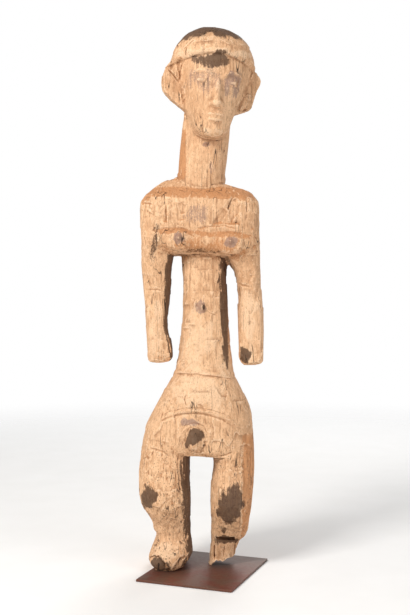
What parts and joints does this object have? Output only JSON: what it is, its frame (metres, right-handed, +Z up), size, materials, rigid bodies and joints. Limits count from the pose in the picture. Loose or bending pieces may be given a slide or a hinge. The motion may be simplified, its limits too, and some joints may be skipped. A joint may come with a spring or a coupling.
{
  "type": "standing female figure",
  "caption": "Carved wooden standing female figure with a capped head, long neck and broken feet, on a thin steel plate.",
  "frame": {"origin": "centre of the underside of the base plate, on the surface that it stands on", "axes": "+Z up, the figure faces -Y, its left arm is towards +X"},
  "size_m": [0.2448, 0.2622, 1.0042],
  "materials": {
    "weathered_wood": "dry weathered grain with dark stains and open cracks",
    "patinated_steel": "dark brown patina, satin"
  },
  "bodies": {
    "root": {"carved_figure": "weathered_wood", "base_plate": "patinated_steel"}
  },
  "joints": []
}
